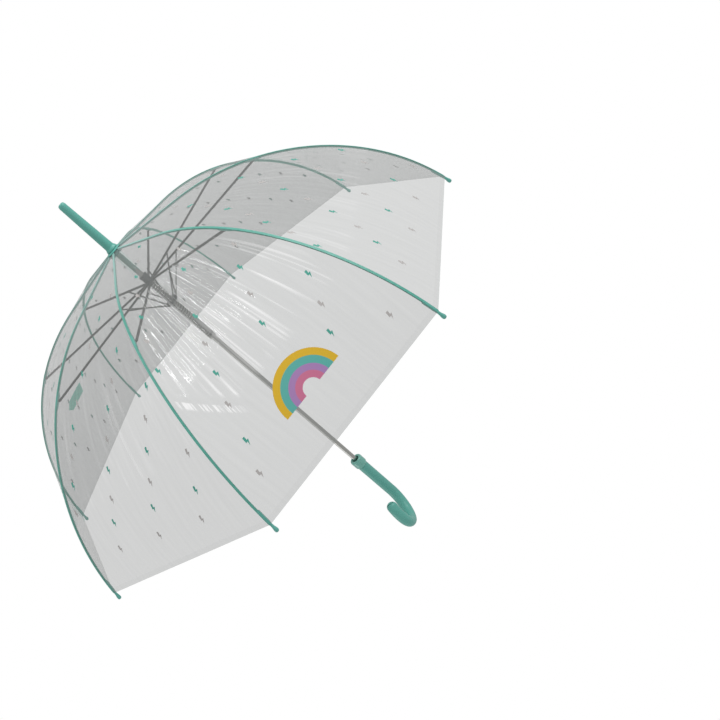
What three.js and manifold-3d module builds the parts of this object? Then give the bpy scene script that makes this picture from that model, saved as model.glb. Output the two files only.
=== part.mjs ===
// Children's dome umbrella on a straight push-button stick, drawn open.
// Units are millimetres and +Z is up the shaft. The origin is the middle of the handle's straight grip,
// on the shaft's axis, and the hook opens towards +X. Inside this file heights are measured from the
// crown, the level at which the canopy's ribs meet, and the whole group is lifted to the grip at the end.
import * as THREE from 'three';
import { mergeVertices } from 'three/addons/utils/BufferGeometryUtils.js';
import Module from 'manifold-3d';

const wasm = await Module();
wasm.setup();

// ---------------------------------------------------------------- driving sizes
const RIB_COUNT = 8;
const GAP = 0.3; // clearance between pieces that touch or slide

const SHAFT_R = 4;
const SHAFT_WALL = 0.6;
const SHAFT_IN_FERRULE = 33; // how far the tube reaches up into the ferrule
const SHAFT_IN_HANDLE = 45; // how far it reaches down into the handle

const HINGE_OUT = 3.2; // rib hinges outside the shaft's bore
const RIB_ROD_R = 1.2;
const RIB_STRAIGHT = 108; // the rib's straight start
const RIB_BEND_R = 356; // radius that the rest of the open rib is bent to
const RIB_START_SLOPE = THREE.MathUtils.degToRad(8);
const RIB_END_SLOPE = THREE.MathUtils.degToRad(75);
const RIB_FLEX_ARC = 305; // where the rib's bending is gathered into one flex hinge
const FLEX_GAP = 0.8; // half the break in the rod at that hinge
const TIP_BEAD_R = 2.8;

const CROWN_HUB_RIM = 3.5; // hub outside the circle of the rib hinges
const CROWN_HUB_HEIGHT = 6;
const CROWN_WASHER_RIM = 2; // washer outside the hub
const CROWN_WASHER_T = 1.2;

const FILM_T = 0.2;
const FILM_STEP = Math.sqrt(8 * RIB_BEND_R * 0.15); // chords that leave the bend by 0.15
const FILM_HOLE_RIM = 2; // hole in the canopy's middle, outside the circle of the rib hinges
const RIM_MARGIN = 10; // how much rib stands out past the film's rim

const CONNECTOR_ARC = 231; // where the stretchers meet the ribs
const CONNECTOR_DROP = 2; // the stretcher's pin below the rib's middle
const STRETCHER_ROD_R = 1.1;
const STRUT_ROD_R = 0.9;
const STRUT_REACH = 52; // how far up a stretcher its strut is pinned
const HUB_PIVOT_OUT = 3.25; // hinges of the runner and the strut hub, outside their sleeves
const HUB_RIM = 2; // hub outside its hinges
const HUB_HEIGHT = 6;
const SLEEVE_WALL = 1.95;
const RUNNER_DROP = 70; // runner hinges below the crown, canopy open
const RUNNER_NECK = 11; // sleeve above the runner's hub
const STRUT_HUB_DROP = 114;
const LATCH_SLEEVE = 83; // sleeve below the strut hub, which the collar holds when closed
const LATCH_DEPTH = 12; // how far the sleeve plugs into the collar

const CLOSED_FLEX_R = 15; // where the closed canopy leaves the flex hinge and the tip
const CLOSED_TIP_R = 21;

const SPRING_WIRE_R = 0.6;
const SPRING_SPARE = 0.7; // between the bore and the wire
const SPRING_TURNS = 8;

const FERRULE_LENGTH = 92;
const FERRULE_WALL = 3; // round the shaft, just above the flare
const FERRULE_FLARE = 2; // how far the flare stands out
const FERRULE_FLARE_EDGE = 1.5;
const FERRULE_FLARE_HEIGHT = 5;
const FERRULE_TIP_R = 5.7;
const FERRULE_NOSE = 4; // length of the rounded nose
const FERRULE_FLAT_R = 3;

const COLLAR_WALL = 4.65; // round the well that takes the latch sleeve
const COLLAR_LENGTH = 18;
const COLLAR_FLOOR = 2;
const COLLAR_EDGE = 1.2;

const HANDLE_WALL = 5.3; // round the shaft
const GRIP_LENGTH = 83;
const HOOK_R = 40;
const HOOK_TURN = THREE.MathUtils.degToRad(216);

const BUTTON_WIDTH = 6;
const BUTTON_HEIGHT = 8;
const BUTTON_STAND = 1.2; // how far it stands out of the collar
const BUTTON_TRAVEL = 1.5;

const STRAP_ARC = 373;
const STRAP_LENGTH = 60;
const STRAP_WIDTH = 22;
const STRAP_T = 0.6;
const STRAP_GORE = 6;

// ---------------------------------------------------------------- worked-out sizes
const RIB_LENGTH = RIB_STRAIGHT + RIB_BEND_R * (RIB_END_SLOPE - RIB_START_SLOPE);
const RIM_ARC = RIB_LENGTH - RIM_MARGIN;
const HALF_PITCH = Math.PI / RIB_COUNT;
const BORE_R = SHAFT_R + GAP;
const HINGE_R = BORE_R + HINGE_OUT;
const CROWN_HUB_R = HINGE_R + CROWN_HUB_RIM;
const CROWN_WASHER_R = CROWN_HUB_R + CROWN_WASHER_RIM;
const FILM_HOLE_R = HINGE_R + FILM_HOLE_RIM;
const SLEEVE_R = BORE_R + SLEEVE_WALL;
const HUB_PIVOT_R = SLEEVE_R + HUB_PIVOT_OUT;
const HUB_R = HUB_PIVOT_R + HUB_RIM;
const SPRING_COIL_R = BORE_R + SPRING_SPARE + SPRING_WIRE_R;
const FERRULE_BASE_R = BORE_R + FERRULE_WALL;
const FERRULE_FLARE_R = FERRULE_BASE_R + FERRULE_FLARE;
const WELL_R = SLEEVE_R + 2 * GAP;
const COLLAR_R = WELL_R + COLLAR_WALL;
const HANDLE_R = BORE_R + HANDLE_WALL;
const FILM_LIFT = RIB_ROD_R + GAP;
const HINGE_Z = -(FILM_LIFT + FILM_T + GAP + CROWN_WASHER_T + 2 * GAP);
// Stretchers and struts lie beside the ribs, so that the three never cross as they fold.
const STRETCHER_SIDE = RIB_ROD_R + STRETCHER_ROD_R + 1.5 * GAP;
const STRUT_SIDE = STRETCHER_SIDE + STRETCHER_ROD_R + STRUT_ROD_R + GAP;

// A point of the open rib, by its distance along the rib from the hinge, in the rib's own upright plane.
function ribPoint(arc, side = 0, squeeze = 1) {
  const straight = Math.min(arc, RIB_STRAIGHT);
  const slope = RIB_START_SLOPE + Math.max(arc - RIB_STRAIGHT, 0) / RIB_BEND_R;
  const r = HINGE_R + straight * Math.cos(RIB_START_SLOPE)
    + RIB_BEND_R * (Math.sin(slope) - Math.sin(RIB_START_SLOPE));
  const z = HINGE_Z - straight * Math.sin(RIB_START_SLOPE)
    - RIB_BEND_R * (Math.cos(RIB_START_SLOPE) - Math.cos(slope));
  const across = Math.atan2(Math.sin(slope), Math.cos(slope) * squeeze);
  return new THREE.Vector2(r * squeeze + side * Math.sin(across), z + side * Math.cos(across));
}

// Turns a point of an upright plane about a pivot, downwards where the angle is positive.
const turned = (point, pivot, angle) => point.clone().rotateAround(pivot, -angle);

// The turn that brings a point out to a given radius below its pivot.
function turnTo(point, pivot, radius) {
  const arm = point.clone().sub(pivot);
  return Math.acos((radius - pivot.x) / arm.length()) + arm.angle() - (arm.y < 0 ? 2 * Math.PI : 0);
}

// The folded linkage: how far each piece moves from open to closed.
function foldedLinkage() {
  const hinge = ribPoint(0);
  const ribTurn = turnTo(ribPoint(RIB_FLEX_ARC), hinge, CLOSED_FLEX_R);
  const flex = turned(ribPoint(RIB_FLEX_ARC), hinge, ribTurn);
  const tip = turned(ribPoint(RIB_LENGTH), hinge, ribTurn);
  const flexTurn = turnTo(tip, flex, CLOSED_TIP_R);

  const runner = new THREE.Vector2(HUB_PIVOT_R, -RUNNER_DROP);
  const connector = ribPoint(CONNECTOR_ARC, -CONNECTOR_DROP);
  const stretcher = connector.clone().sub(runner);
  const joint = turned(connector, hinge, ribTurn);
  const out = joint.x - HUB_PIVOT_R;
  const closedRunnerZ = joint.y - Math.sqrt(stretcher.lengthSq() - out * out);
  const closedStretcher = joint.clone().sub(new THREE.Vector2(HUB_PIVOT_R, closedRunnerZ));

  const strutHub = new THREE.Vector2(HUB_PIVOT_R, -STRUT_HUB_DROP);
  const pin = runner.clone().addScaledVector(stretcher, STRUT_REACH / stretcher.length());
  const strut = pin.clone().sub(strutHub);
  const closedPin = new THREE.Vector2(HUB_PIVOT_R, closedRunnerZ)
    .addScaledVector(closedStretcher, STRUT_REACH / stretcher.length());
  const pinOut = closedPin.x - HUB_PIVOT_R;
  const closedStrutHubZ = closedPin.y - Math.sqrt(strut.lengthSq() - pinOut * pinOut);
  const closedStrut = closedPin.clone().sub(new THREE.Vector2(HUB_PIVOT_R, closedStrutHubZ));

  // The film between two ribs hinges in its own middle plane.
  const squeeze = Math.cos(HALF_PITCH);
  const filmHinge = ribPoint(0, FILM_LIFT, squeeze);
  const filmTurn = turnTo(ribPoint(RIB_FLEX_ARC, FILM_LIFT, squeeze), filmHinge, CLOSED_FLEX_R);
  const filmFlex = turned(ribPoint(RIB_FLEX_ARC, FILM_LIFT, squeeze), filmHinge, filmTurn);
  const filmRim = turned(ribPoint(RIM_ARC, FILM_LIFT, squeeze), filmHinge, filmTurn);
  const filmFlexTurn = turnTo(filmRim, filmFlex, CLOSED_TIP_R);

  return {
    ribTurn, flexTurn, filmTurn, filmFlexTurn,
    stretcherTurn: closedStretcher.angle() - stretcher.angle() - (stretcher.y < 0 ? -2 * Math.PI : 0),
    strutTurn: closedStrut.angle() - strut.angle(),
    runnerTravel: -RUNNER_DROP - closedRunnerZ,
    strutHubTravel: -STRUT_HUB_DROP - closedStrutHubZ,
    runner, connector, strutHub, pin, hinge, flex: ribPoint(RIB_FLEX_ARC),
    filmHinge, filmFlex: ribPoint(RIB_FLEX_ARC, FILM_LIFT, squeeze),
  };
}
const folded = foldedLinkage();

const SLEEVE_END_Z = -STRUT_HUB_DROP - HUB_HEIGHT / 2 - LATCH_SLEEVE;
const COLLAR_TOP_Z = SLEEVE_END_Z - folded.strutHubTravel + LATCH_DEPTH;
const COLLAR_BOTTOM_Z = COLLAR_TOP_Z - COLLAR_LENGTH;
const HANDLE_TOP_Z = COLLAR_BOTTOM_Z - GAP;
const HOOK_Z = HANDLE_TOP_Z - GRIP_LENGTH;
const GRIP_Z = HANDLE_TOP_Z - GRIP_LENGTH / 2;
const BUTTON_Z = COLLAR_TOP_Z - COLLAR_LENGTH / 2;

// ---------------------------------------------------------------- shape helpers
// A closed, merged solid that manifold can join and cut.
function solid(geometry) {
  const bare = geometry.clone();
  bare.deleteAttribute('normal');
  bare.deleteAttribute('uv');
  const merged = mergeVertices(bare, 1e-4);
  return new wasm.Manifold(new wasm.Mesh({
    numProp: 3,
    vertProperties: new Float32Array(merged.attributes.position.array),
    triVerts: new Uint32Array(merged.index.array),
  }));
}

function geometryOf(manifold) {
  const mesh = manifold.getMesh();
  const geometry = new THREE.BufferGeometry();
  geometry.setAttribute('position', new THREE.BufferAttribute(mesh.vertProperties, 3));
  geometry.setIndex(new THREE.BufferAttribute(mesh.triVerts, 1));
  return geometry;
}

// A turned piece: points are [radius, height], closed on themselves or starting and ending on the axis.
function lathe(points, segments = 24) {
  const profile = points.map(([r, z]) => new THREE.Vector2(r, z));
  return new THREE.LatheGeometry(profile, segments).rotateX(Math.PI / 2);
}

const ring = (inner, outer, bottom, top, segments) => lathe(
  [[inner, bottom], [outer, bottom], [outer, top], [inner, top], [inner, bottom]], segments);

function block(x0, x1, y0, y1, z0, z1) {
  return new THREE.BoxGeometry(x1 - x0, y1 - y0, z1 - z0)
    .translate((x0 + x1) / 2, (y0 + y1) / 2, (z0 + z1) / 2);
}

// A round rod along a curve.
function rod(curve, radius, steps, sides) {
  const section = new THREE.Shape();
  for (let i = 0; i < sides; i += 1) {
    const angle = (i / sides) * 2 * Math.PI;
    const [x, y] = [radius * Math.cos(angle), radius * Math.sin(angle)];
    if (i === 0) section.moveTo(x, y);
    else section.lineTo(x, y);
  }
  section.closePath();
  return new THREE.ExtrudeGeometry(section, { steps, extrudePath: curve, curveSegments: 1 });
}

class Path extends THREE.Curve {
  constructor(pointAt) {
    super();
    this.pointAt = pointAt;
  }

  getPoint(t, target = new THREE.Vector3()) {
    return target.copy(this.pointAt(t));
  }
}

// A straight rod between two points of an upright plane, set to one side of it.
function sideRod(from, to, side, radius) {
  const along = to.clone().sub(from).setLength(radius);
  const a = from.clone().sub(along);
  const b = to.clone().add(along);
  return rod(new THREE.LineCurve3(new THREE.Vector3(a.x, side, a.y), new THREE.Vector3(b.x, side, b.y)),
    radius, 1, 8);
}

const umbrella = new THREE.Group();
umbrella.position.z = -GRIP_Z;

function add(name, geometry, look, parent = umbrella) {
  const mesh = new THREE.Mesh(geometry, new THREE.MeshStandardMaterial(look));
  mesh.name = name;
  parent.add(mesh);
}

// The group of one rib's upright plane. Rib 1 stands over the hook, and the rest go round from +X to +Y.
function spoke(turn) {
  const group = new THREE.Group();
  group.rotation.z = turn;
  umbrella.add(group);
  return group;
}

const MINT = { color: 0x7ac1b6, roughness: 0.35, metalness: 0 };
const PALE_MINT = { color: 0x9ad6cb, roughness: 0.25, metalness: 0 };
const MINT_COAT = { color: 0x6fb8ab, roughness: 0.4, metalness: 0 };
const STEEL = { color: 0x9a9c9c, roughness: 0.3, metalness: 1 };
const DARK = { color: 0x5c6266, roughness: 0.5, metalness: 0.6 };
const FILM = { color: 0xe6eceb, roughness: 0.15, metalness: 0, transparent: true, opacity: 0.3 };

// ---------------------------------------------------------------- stick
function buildShaft() {
  const bottom = HANDLE_TOP_Z - SHAFT_IN_HANDLE;
  add('shaft', ring(SHAFT_R - SHAFT_WALL, SHAFT_R, bottom, SHAFT_IN_FERRULE, 20), STEEL);
}

function buildFerrule() {
  const outside = lathe([
    [0, 0], [FERRULE_FLARE_R, 0], [FERRULE_FLARE_R, FERRULE_FLARE_EDGE], [FERRULE_BASE_R, FERRULE_FLARE_HEIGHT],
    [FERRULE_TIP_R, FERRULE_LENGTH - FERRULE_NOSE],
    [FERRULE_TIP_R - 0.2 * FERRULE_NOSE, FERRULE_LENGTH - 0.3 * FERRULE_NOSE],
    [FERRULE_FLAT_R, FERRULE_LENGTH], [0, FERRULE_LENGTH],
  ]);
  const bore = lathe([[0, -1], [BORE_R, -1], [BORE_R, SHAFT_IN_FERRULE + 1],
    [0, SHAFT_IN_FERRULE + 1]], 20);
  add('ferrule', geometryOf(solid(outside).subtract(solid(bore))), MINT);
}

function buildHandle() {
  const length = GRIP_LENGTH + HOOK_R * HOOK_TURN;
  const curve = new Path((t) => {
    const s = t * length;
    if (s <= GRIP_LENGTH) return new THREE.Vector3(0, 0, HANDLE_TOP_Z - s);
    const a = (s - GRIP_LENGTH) / HOOK_R;
    return new THREE.Vector3(HOOK_R - HOOK_R * Math.cos(a), 0, HOOK_Z - HOOK_R * Math.sin(a));
  });
  const stem = rod(curve, HANDLE_R, 36, 20);
  const end = new THREE.SphereGeometry(HANDLE_R, 20, 12)
    .rotateX(Math.PI / 2)
    .translate(HOOK_R - HOOK_R * Math.cos(HOOK_TURN), 0, HOOK_Z - HOOK_R * Math.sin(HOOK_TURN));
  const socket = lathe([[0, HANDLE_TOP_Z - SHAFT_IN_HANDLE - 1], [BORE_R, HANDLE_TOP_Z - SHAFT_IN_HANDLE - 1],
    [BORE_R, HANDLE_TOP_Z + 1], [0, HANDLE_TOP_Z + 1]], 20);
  add('handle', geometryOf(solid(stem).add(solid(end)).subtract(solid(socket))), MINT);
}

function buildCollar() {
  const wellFloor = COLLAR_BOTTOM_Z + COLLAR_FLOOR;
  const shell = lathe([
    [BORE_R, COLLAR_BOTTOM_Z], [COLLAR_R - COLLAR_EDGE, COLLAR_BOTTOM_Z],
    [COLLAR_R, COLLAR_BOTTOM_Z + COLLAR_EDGE], [COLLAR_R, COLLAR_TOP_Z - COLLAR_EDGE],
    [COLLAR_R - COLLAR_EDGE, COLLAR_TOP_Z], [WELL_R, COLLAR_TOP_Z], [WELL_R, wellFloor],
    [BORE_R, wellFloor], [BORE_R, COLLAR_BOTTOM_Z],
  ]);
  const buttonWindow = block(-COLLAR_R - 1, -SLEEVE_R, -BUTTON_WIDTH / 2 - GAP, BUTTON_WIDTH / 2 + GAP,
    BUTTON_Z - BUTTON_HEIGHT / 2 - GAP, BUTTON_Z + BUTTON_HEIGHT / 2 + GAP);
  add('collar', geometryOf(solid(shell).subtract(solid(buttonWindow))), PALE_MINT);
  add('release_button', block(-COLLAR_R - BUTTON_STAND, -SLEEVE_R - BUTTON_TRAVEL - GAP,
    -BUTTON_WIDTH / 2, BUTTON_WIDTH / 2, BUTTON_Z - BUTTON_HEIGHT / 2, BUTTON_Z + BUTTON_HEIGHT / 2),
  { color: 0xd9c7cc, roughness: 0.3, metalness: 0 });
}

// ---------------------------------------------------------------- crown
function buildCrown() {
  const slots = [];
  const top = HINGE_Z + 0.5 * RIB_ROD_R;
  const hub = solid(ring(BORE_R, CROWN_HUB_R, top - CROWN_HUB_HEIGHT, top));
  for (let i = 0; i < RIB_COUNT; i += 1) {
    slots.push(solid(block(HINGE_R - 2 * RIB_ROD_R + GAP, CROWN_HUB_R + 1, -RIB_ROD_R - GAP, RIB_ROD_R + GAP,
      top - CROWN_HUB_HEIGHT - 1, top + 1).rotateZ(2 * i * HALF_PITCH)));
  }
  add('crown_hub', geometryOf(slots.reduce((body, slot) => body.subtract(slot), hub)), DARK);

  const filmTop = (r) => HINGE_Z + (FILM_LIFT + FILM_T) / Math.cos(RIB_START_SLOPE)
    - (r - HINGE_R) * Math.tan(RIB_START_SLOPE);
  const under = (r) => filmTop(r) + GAP;
  add('crown_washer', lathe([
    [BORE_R, under(BORE_R)], [CROWN_WASHER_R, under(CROWN_WASHER_R)],
    [CROWN_WASHER_R, under(CROWN_WASHER_R) + CROWN_WASHER_T / 2],
    [FERRULE_FLARE_R, -GAP], [BORE_R, -GAP], [BORE_R, under(BORE_R)],
  ]), MINT);
}

// ---------------------------------------------------------------- sliding hubs
// A hub with a slot at each spoke, from one side distance to another, for the rods hinged in it.
function slottedHub(drop, fromSide, toSide, bodyProfile) {
  const floor = -drop - HUB_HEIGHT / 2;
  let body = solid(lathe(bodyProfile));
  for (let i = 0; i < RIB_COUNT; i += 1) {
    body = body.subtract(solid(block(SLEEVE_R + 2 * GAP, HUB_R + 1, fromSide, toSide,
      floor - 1, floor + HUB_HEIGHT + 1).rotateZ(2 * i * HALF_PITCH)));
  }
  return body;
}

function buildHubs() {
  const runnerFloor = -RUNNER_DROP - HUB_HEIGHT / 2;
  const runner = slottedHub(RUNNER_DROP, STRETCHER_SIDE - STRETCHER_ROD_R - GAP, STRUT_SIDE + STRUT_ROD_R + GAP, [
    [BORE_R, runnerFloor], [HUB_R, runnerFloor], [HUB_R, runnerFloor + HUB_HEIGHT],
    [SLEEVE_R, runnerFloor + HUB_HEIGHT], [SLEEVE_R, runnerFloor + HUB_HEIGHT + RUNNER_NECK],
    [BORE_R, runnerFloor + HUB_HEIGHT + RUNNER_NECK], [BORE_R, runnerFloor],
  ]);
  add('runner', geometryOf(runner), DARK);

  const hubTop = -STRUT_HUB_DROP + HUB_HEIGHT / 2;
  const strutHub = slottedHub(STRUT_HUB_DROP, STRUT_SIDE - STRUT_ROD_R - GAP, STRUT_SIDE + STRUT_ROD_R + GAP, [
    [BORE_R, SLEEVE_END_Z], [SLEEVE_R, SLEEVE_END_Z], [SLEEVE_R, hubTop - HUB_HEIGHT],
    [HUB_R, hubTop - HUB_HEIGHT], [HUB_R, hubTop], [BORE_R, hubTop], [BORE_R, SLEEVE_END_Z],
  ]);
  // The catch behind the release button drops into this window when the umbrella is closed.
  const catchWindow = block(-SLEEVE_R - 1, -BORE_R + 1, -BUTTON_WIDTH / 4, BUTTON_WIDTH / 4,
    SLEEVE_END_Z + LATCH_DEPTH / 3, SLEEVE_END_Z + LATCH_DEPTH * 0.8);
  add('strut_hub', geometryOf(strutHub.subtract(solid(catchWindow))), DARK);

  const springTop = runnerFloor - GAP;
  const springBottom = hubTop + GAP;
  const rise = springTop - springBottom - 2 * SPRING_WIRE_R;
  const helix = new Path((t) => new THREE.Vector3(
    SPRING_COIL_R * Math.cos(2 * Math.PI * SPRING_TURNS * t),
    SPRING_COIL_R * Math.sin(2 * Math.PI * SPRING_TURNS * t),
    springBottom + SPRING_WIRE_R + rise * t,
  ));
  add('opening_spring', rod(helix, SPRING_WIRE_R, SPRING_TURNS * 10, 5), STEEL);
}

// ---------------------------------------------------------------- ribs, stretchers and struts
function ribCurve(from, to) {
  return new Path((t) => {
    const p = ribPoint(from + (to - from) * t);
    return new THREE.Vector3(p.x, 0, p.y);
  });
}

function buildSpokes() {
  for (let i = 0; i < RIB_COUNT; i += 1) {
    const plane = spoke(2 * i * HALF_PITCH);
    const id = i + 1;
    add(`rib_upper_${id}`, rod(ribCurve(-RIB_ROD_R, RIB_FLEX_ARC - FLEX_GAP), RIB_ROD_R, 9, 6), MINT_COAT,
      plane);
    const lower = rod(ribCurve(RIB_FLEX_ARC + FLEX_GAP, RIB_LENGTH), RIB_ROD_R, 7, 6);
    const end = ribPoint(RIB_LENGTH);
    const bead = new THREE.SphereGeometry(TIP_BEAD_R, 10, 6).rotateX(Math.PI / 2).translate(end.x, 0, end.y);
    add(`rib_lower_${id}`, geometryOf(solid(lower).add(solid(bead))), MINT_COAT, plane);
    add(`stretcher_${id}`, sideRod(folded.runner, folded.connector, STRETCHER_SIDE, STRETCHER_ROD_R),
      DARK, plane);
    add(`strut_${id}`, sideRod(folded.strutHub, folded.pin, STRUT_SIDE, STRUT_ROD_R), DARK, plane);
  }
}

// ---------------------------------------------------------------- canopy film
// Distances along a rib that follow its bend closely: one step for the straight start, short ones after it.
function stations(from, to) {
  const bendFrom = Math.max(from, RIB_STRAIGHT);
  const steps = Math.ceil((to - bendFrom) / FILM_STEP);
  const arcs = from < bendFrom ? [from] : [];
  for (let i = 0; i <= steps; i += 1) arcs.push(bendFrom + ((to - bendFrom) * i) / steps);
  return arcs;
}

// The part of a gore between two distances along the ribs: a curved strip cut to the wedge between two ribs.
function goreStrip(from, to) {
  const squeeze = Math.cos(HALF_PITCH);
  const arcs = stations(from, to);
  const outline = new THREE.Shape([
    ...arcs.map((arc) => ribPoint(arc, FILM_LIFT, squeeze)),
    ...arcs.reverse().map((arc) => ribPoint(arc, FILM_LIFT + FILM_T, squeeze)),
  ]);
  const reach = ribPoint(RIB_LENGTH).x;
  const strip = new THREE.ExtrudeGeometry(outline, { depth: 2 * reach, bevelEnabled: false, steps: 1 })
    .translate(0, 0, -reach)
    .rotateX(Math.PI / 2);
  const wedge = new THREE.Shape();
  wedge.moveTo(GAP / Math.sin(HALF_PITCH), 0);
  wedge.lineTo(1.5 * reach, (1.5 * reach - GAP / Math.sin(HALF_PITCH)) * Math.tan(HALF_PITCH));
  wedge.lineTo(1.5 * reach, -(1.5 * reach - GAP / Math.sin(HALF_PITCH)) * Math.tan(HALF_PITCH));
  const cutter = new THREE.ExtrudeGeometry(wedge, { depth: 2 * reach, bevelEnabled: false, steps: 1 })
    .translate(0, 0, -1.9 * reach);
  return geometryOf(solid(strip).intersect(solid(cutter)));
}

function buildCanopy() {
  const firstArc = (FILM_HOLE_R / Math.cos(HALF_PITCH) - HINGE_R) / Math.cos(RIB_START_SLOPE);
  for (let i = 0; i < RIB_COUNT; i += 1) {
    const plane = spoke((2 * i + 1) * HALF_PITCH);
    add(`gore_upper_${i + 1}`, goreStrip(firstArc, RIB_FLEX_ARC - GAP / 2), FILM, plane);
    add(`gore_lower_${i + 1}`, goreStrip(RIB_FLEX_ARC + GAP / 2, RIM_ARC), FILM, plane);
  }
}

// The tie that holds the rolled canopy, sewn to the outside of one gore.
function buildStrap() {
  const squeeze = Math.cos(HALF_PITCH);
  const at = ribPoint(STRAP_ARC, FILM_LIFT + FILM_T + GAP + STRAP_T / 2, squeeze);
  const next = ribPoint(STRAP_ARC + 1, FILM_LIFT + FILM_T + GAP + STRAP_T / 2, squeeze);
  const strap = new THREE.BoxGeometry(STRAP_WIDTH, STRAP_LENGTH, STRAP_T)
    .rotateY(Math.atan2(at.y - next.y, next.x - at.x))
    .translate(at.x, 0, at.y);
  add('tie_strap', strap, MINT, spoke((2 * STRAP_GORE - 1) * HALF_PITCH));
}

buildShaft();
buildFerrule();
buildHandle();
buildCollar();
buildCrown();
buildHubs();
buildSpokes();
buildCanopy();
buildStrap();

// How the pieces fold, for the joint limits and their ratios.
export const fold = { ...folded, gripZ: GRIP_Z, springTop: -RUNNER_DROP - HUB_HEIGHT / 2 - GAP };

export default umbrella;
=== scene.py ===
import math

import bmesh
import bpy
from mathutils import Matrix, Vector, noise


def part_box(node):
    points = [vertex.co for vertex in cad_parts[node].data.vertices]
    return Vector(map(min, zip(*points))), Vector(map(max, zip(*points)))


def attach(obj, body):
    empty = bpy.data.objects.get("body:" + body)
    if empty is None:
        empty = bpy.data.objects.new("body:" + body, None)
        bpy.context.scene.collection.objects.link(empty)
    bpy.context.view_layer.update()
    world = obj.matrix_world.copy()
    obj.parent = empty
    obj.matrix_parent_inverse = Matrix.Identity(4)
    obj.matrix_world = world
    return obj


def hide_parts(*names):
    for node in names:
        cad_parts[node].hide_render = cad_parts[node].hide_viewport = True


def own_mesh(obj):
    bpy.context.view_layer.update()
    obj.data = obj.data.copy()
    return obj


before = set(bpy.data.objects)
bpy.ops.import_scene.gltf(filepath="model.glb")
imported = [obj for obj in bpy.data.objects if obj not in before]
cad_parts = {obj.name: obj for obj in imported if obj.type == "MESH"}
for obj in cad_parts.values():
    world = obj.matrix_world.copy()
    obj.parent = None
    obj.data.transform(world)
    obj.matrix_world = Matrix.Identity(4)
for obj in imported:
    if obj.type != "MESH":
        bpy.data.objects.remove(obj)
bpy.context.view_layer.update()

# ---------------------------------------------------------------- sizes, in metres
MM = 0.001
RIBS = 8
HALF_PITCH = math.pi / RIBS

CROWN_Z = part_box("ferrule")[0].z  # the level at which the ribs meet
HINGE_R = 7.5 * MM
HINGE_Z = CROWN_Z - 3.8 * MM
RIB_ROD_R = 1.2 * MM
RIB_STRAIGHT = 108 * MM
RIB_BEND_R = 356 * MM
RIB_START_SLOPE = math.radians(8)
RIB_END_SLOPE = math.radians(75)
RIB_LENGTH = RIB_STRAIGHT + RIB_BEND_R * (RIB_END_SLOPE - RIB_START_SLOPE)
RIB_INNER_END = -1.2 * MM
FLEX_ARC = 305 * MM
RIM_ARC = RIB_LENGTH - 10 * MM
CONNECTOR_ARC = 231 * MM
CONNECTOR_DROP = 2 * MM
FILM_LIFT = 1.6 * MM
FILM_START = 3 * MM
HEM_WIDTH = 8 * MM
STRETCHER_SIDE = 2.75 * MM
STRUT_SIDE = 5.05 * MM
PIVOT_R = 9.5 * MM
RUNNER_Z = CROWN_Z - 70 * MM
STRUT_HUB_Z = CROWN_Z - 114 * MM
STRUT_REACH = 52 * MM
SLIDE_BORE = 4.3 * MM  # the bore of all that sits round the stick
NECK_R = 6.25 * MM

# the film's pleats: the arcs between which they run, and the slanting fold that ends them on one side
PLEATS_FROM, PLEATS_TO = 90 * MM, 400 * MM
FOLD_AT, FOLD_SLOPE = 489 * MM, 1.39
PLEAT_FAN = 112 * MM  # half of the gore's width where the pleats end: they fan out with the gore


def rib_point(arc, lift=0.0, squeeze=1.0):
    """A point (radius, height) of the open rib's curve, lifted off it, and the slope there."""
    straight = min(arc, RIB_STRAIGHT)
    slope = RIB_START_SLOPE + max(arc - RIB_STRAIGHT, 0) / RIB_BEND_R
    r = HINGE_R + straight * math.cos(RIB_START_SLOPE)
    r += RIB_BEND_R * (math.sin(slope) - math.sin(RIB_START_SLOPE))
    z = HINGE_Z - straight * math.sin(RIB_START_SLOPE)
    z -= RIB_BEND_R * (math.cos(RIB_START_SLOPE) - math.cos(slope))
    across = math.atan2(math.sin(slope), math.cos(slope) * squeeze)
    return r * squeeze + lift * math.sin(across), z + lift * math.cos(across), across


def half_gore(arc):
    """Half of a gore's width at an arc along the ribs."""
    return rib_point(arc)[0] * math.sin(HALF_PITCH)


def spoke(turn):
    """Turns a shape made in the upright plane over +X to its own place round the shaft."""
    return Matrix.Rotation(turn, 4, "Z")


# ---------------------------------------------------------------- materials
def linear(hex_colour):
    """An sRGB hex colour as the linear colour that shaders take."""
    values = [int(hex_colour[i:i + 2], 16) / 255 for i in (0, 2, 4)]
    return tuple(v / 12.92 if v <= 0.04045 else ((v + 0.055) / 1.055) ** 2.4 for v in values) + (1.0,)


def add_node(owner, kind, inputs=None, **settings):
    """Adds a shader node with its properties. An input given a socket is linked, and any other is set."""
    tree = owner.node_tree
    node = tree.nodes.new(kind)
    for key, value in settings.items():
        setattr(node, key, value)
    for key, value in (inputs or {}).items():
        if isinstance(value, bpy.types.NodeSocket):
            tree.links.new(value, node.inputs[key])
        else:
            node.inputs[key].default_value = value
    return node


def shader_of(material):
    return material.node_tree.nodes["Principled BSDF"]


def feed(material, source, socket):
    """Links a pattern to one socket of the material's shader."""
    material.node_tree.links.new(source, shader_of(material).inputs[socket])


def new_material(name, colour, roughness, metallic=0.0, **sockets):
    material = bpy.data.materials.new(name)
    material.use_nodes = True
    shader = shader_of(material)
    shader.inputs["Base Color"].default_value = linear(colour)
    shader.inputs["Roughness"].default_value = roughness
    shader.inputs["Metallic"].default_value = metallic
    for key, value in sockets.items():
        shader.inputs[key.replace("_", " ")].default_value = value
    return material


GRAIN_DETAIL = 3
GRAIN_RELIEF = 0.1  # the relief's depth, as a share of the grain's size
GRAIN_DARK, GRAIN_LIGHT = 0.3, 0.7  # the levels of the grain that take the two tints


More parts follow.
